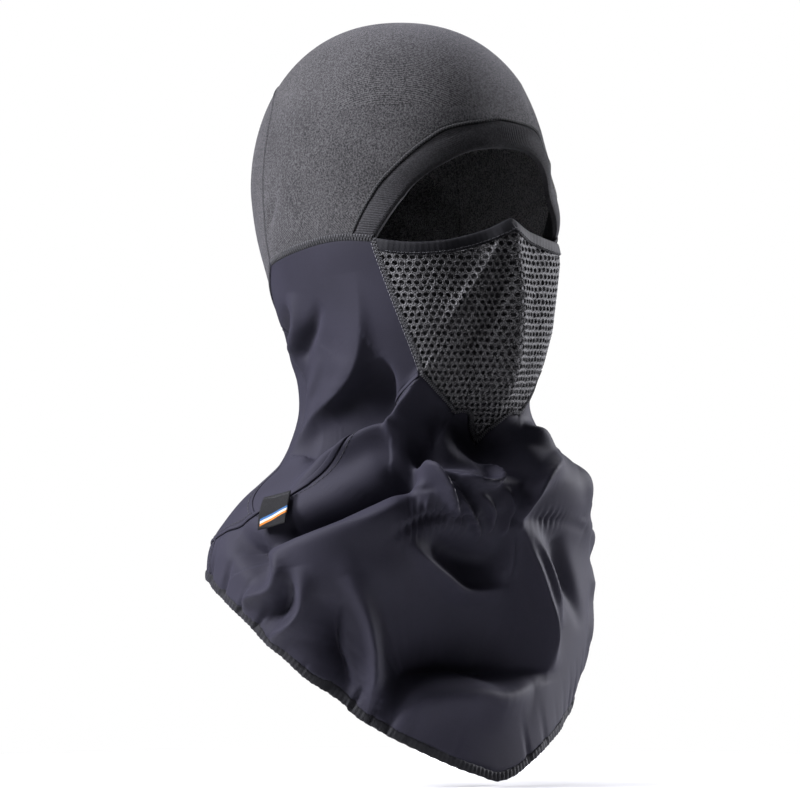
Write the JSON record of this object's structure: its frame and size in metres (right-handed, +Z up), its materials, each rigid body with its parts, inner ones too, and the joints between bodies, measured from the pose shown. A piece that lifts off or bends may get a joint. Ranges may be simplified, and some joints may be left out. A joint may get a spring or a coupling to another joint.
{
  "type": "balaclava",
  "caption": "Windproof balaclava with a knitted cap, an arched eye opening, a pull-down mesh mask, a shaped neck and a flared bib with a bound, pointed hem.",
  "frame": {"origin": "inside of the crown at its highest point, where the wearer's head meets the cap", "axes": "+Z up, the wearer looks along -Y, +X is the wearer's left"},
  "size_m": [0.2377, 0.2146, 0.443],
  "materials": {
    "cap_knit": "brushed fine-gauge heather jersey, matt",
    "rib_knit": "fine ribbed elastic knit, matt",
    "mask_mesh": "open hexagonal spacer mesh, matt",
    "lining": "smooth dark knit, matt",
    "binding": "folded elastic binding, soft satin",
    "softshell": "windproof softshell with a satin face",
    "grey_thread": "flatlock overlock thread, matt",
    "dark_thread": "overlock thread, matt",
    "woven_label": "woven satin label with plain coloured stripes",
    "care_tape": "plain woven tape, matt"
  },
  "bodies": {
    "hood": {"crown_panel": "cap_knit", "back_head_panel": "cap_knit", "brow_band": "rib_knit", "mask_panel": "mask_mesh", "mask_lining": "lining", "neck_panel_left": "softshell", "neck_panel_right": "softshell", "neck_back_panel": "softshell", "bib_front_panel": "softshell", "bib_back_panel": "softshell", "hem_binding_front": "binding", "hem_binding_back": "binding", "throat_elastic": "lining", "brow_seam": "grey_thread", "cap_neck_seam_left": "grey_thread", "cap_neck_seam_right": "grey_thread", "back_panel_seam": "grey_thread", "nape_seam": "dark_thread", "mask_side_seam_left": "grey_thread", "mask_side_seam_right": "grey_thread", "mask_chin_seam": "grey_thread", "neck_bib_seam_left": "dark_thread", "neck_bib_seam_right": "dark_thread", "nape_bib_seam": "dark_thread", "neck_side_seam_left": "dark_thread", "neck_side_seam_right": "dark_thread", "shoulder_seam_left": "dark_thread", "shoulder_seam_right": "dark_thread", "care_label": "care_tape"},
    "mask_edge": {"mask_binding": "binding"},
    "label": {"side_label": "woven_label"}
  },
  "joints": [
    {"name": "mask_pull_down", "type": "hinge", "parent": "hood", "child": "mask_edge", "pos_m": [0, -0.066, -0.1296], "axis": [1, 0, 0], "range_deg": [0, 45], "stiffness_Nm_per_rad": 0.15, "springref_deg": -8.59, "deforming": ["mask_panel", "mask_lining"]},
    {"name": "label_flip", "type": "hinge", "parent": "hood", "child": "label", "pos_m": [-0.10217, -0.0123, -0.27431], "axis": [-0.2289, 0.9493, -0.2154], "range_deg": [0, 120]}
  ]
}
